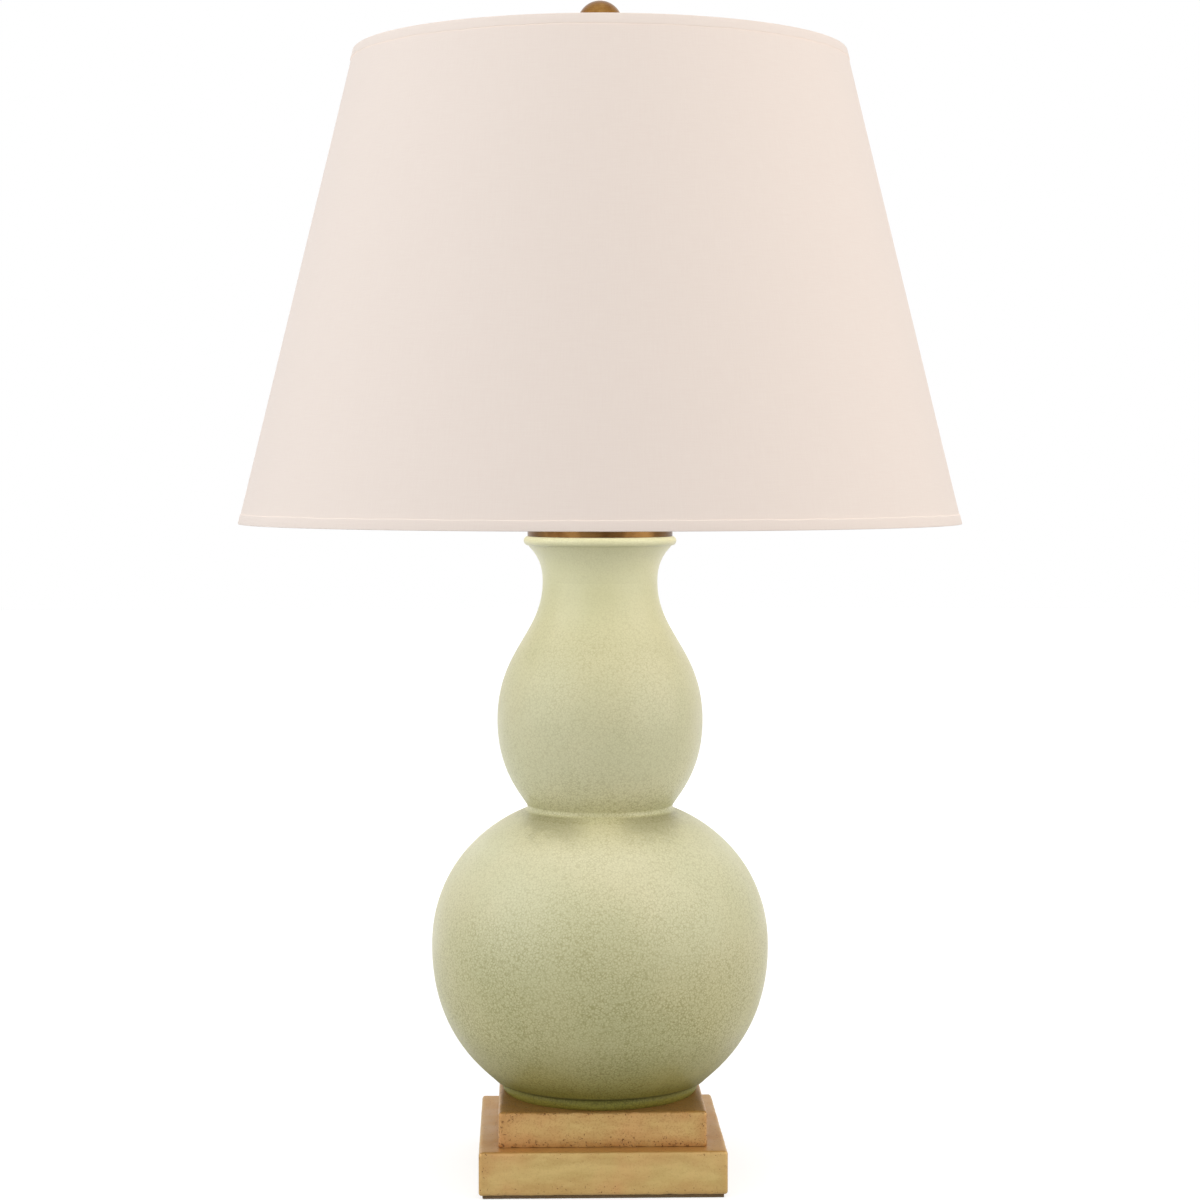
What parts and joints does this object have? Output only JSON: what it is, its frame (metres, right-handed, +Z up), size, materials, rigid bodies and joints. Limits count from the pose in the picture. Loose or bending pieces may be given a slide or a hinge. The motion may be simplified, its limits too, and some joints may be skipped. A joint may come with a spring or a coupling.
{
  "type": "table lamp",
  "caption": "Table lamp with a double gourd ceramic body on a stepped gilt plinth, a tapered linen shade on a harp, and a ball finial.",
  "frame": {"origin": "centre of the underside of the felt, on the surface that the lamp stands on", "axes": "+Z up along the lamp's axis, -Y towards the front, +X to the right seen from the front"},
  "size_m": [0.4063, 0.4064, 0.6611],
  "materials": {
    "felt": "matt black-brown wool felt",
    "gilt_lower": "aged gold leaf over wood, rubbed and pitted at the edges",
    "gilt_upper": "aged gold leaf over wood, rubbed and pitted at the edges",
    "zinc_steel": "zinc plated",
    "brown_plastic": "moulded, satin",
    "celadon_glaze": "pale celadon glaze with a fine crackle",
    "aged_brass": "antique-burnished brass, satin",
    "bright_brass": "thin spun brass, satin",
    "fibre_liner": "grey-brown fibre",
    "phenolic": "black moulded phenolic",
    "sleeve_metal": "thin pressed brass",
    "harp_brass": "satin brass plate",
    "black_plastic": "moulded, half gloss",
    "frosted_glass": "soft white frosting",
    "bulb_aluminium": "thin pressed aluminium",
    "black_glass": "opaque black vitrite",
    "solder": "dull solder",
    "linen": "fine off-white linen, plain weave",
    "white_liner": "smooth white styrene",
    "spider_brass": "satin brass plate",
    "linen_hem": "fine off-white linen, folded strip",
    "finial_brass": "antique-burnished brass"
  },
  "bodies": {
    "lamp_base": {"base_felt": "felt", "lower_plinth": "gilt_lower", "upper_plinth": "gilt_upper", "plinth_screws": "zinc_steel", "cord_bushing": "brown_plastic", "gourd_body": "celadon_glaze", "vase_cap": "aged_brass", "lamp_pipe": "zinc_steel", "bottom_washer": "zinc_steel", "lock_washer": "zinc_steel", "bottom_nut": "zinc_steel", "top_nut": "zinc_steel", "neck_tube": "aged_brass", "socket_cap": "bright_brass", "cap_setscrew": "zinc_steel", "socket_shell": "bright_brass", "shell_liner": "fibre_liner", "socket_core": "phenolic", "terminal_screws": "zinc_steel", "screw_sleeve": "sleeve_metal", "centre_contact": "bright_brass", "harp_saddle": "harp_brass"},
    "switch": {"switch_shaft": "zinc_steel", "switch_knob": "black_plastic"},
    "bulb": {"bulb_glass": "frosted_glass", "bulb_cap": "bulb_aluminium", "bulb_insulator": "black_glass", "bulb_contact": "solder"},
    "harp": {"harp_bow": "harp_brass"},
    "ferrule_left": {"harp_ferrule_left": "harp_brass"},
    "ferrule_right": {"harp_ferrule_right": "harp_brass"},
    "swivel_stud": {"harp_stud": "harp_brass"},
    "shade": {"shade_linen": "linen", "shade_lining": "white_liner", "spider_fitter": "spider_brass", "shade_top_hem": "linen_hem", "shade_bottom_hem": "linen_hem", "shade_bottom_ring": "spider_brass"},
    "finial": {"finial": "finial_brass"}
  },
  "joints": [
    {"name": "switch_turn", "type": "hinge", "parent": "lamp_base", "child": "switch", "pos_m": [0, -0.02, 0.424], "axis": [0, -1, 0], "continuous": true},
    {"name": "bulb_lift", "type": "slide", "parent": "lamp_base", "child": "bulb", "axis": [0, 0, 1], "range_m": [0, 0.028]},
    {"name": "harp_lift", "type": "slide", "parent": "lamp_base", "child": "harp", "axis": [0, 0, 1], "range_m": [0, 0.02]},
    {"name": "ferrule_left_slide", "type": "slide", "parent": "harp", "child": "ferrule_left", "axis": [0, 0, 1], "range_m": [0, 0.01]},
    {"name": "ferrule_right_slide", "type": "slide", "parent": "harp", "child": "ferrule_right", "axis": [0, 0, 1], "range_m": [0, 0.01]},
    {"name": "shade_swivel", "type": "hinge", "parent": "harp", "child": "swivel_stud", "pos_m": [0, 0, 0.6137], "axis": [0, 0, 1], "continuous": true},
    {"name": "shade_lift", "type": "slide", "parent": "swivel_stud", "child": "shade", "axis": [0, 0, 1], "range_m": [0, 0.3]},
    {"name": "finial_lift", "type": "slide", "parent": "shade", "child": "finial", "axis": [0, 0, 1], "range_m": [0, 0.04]}
  ]
}
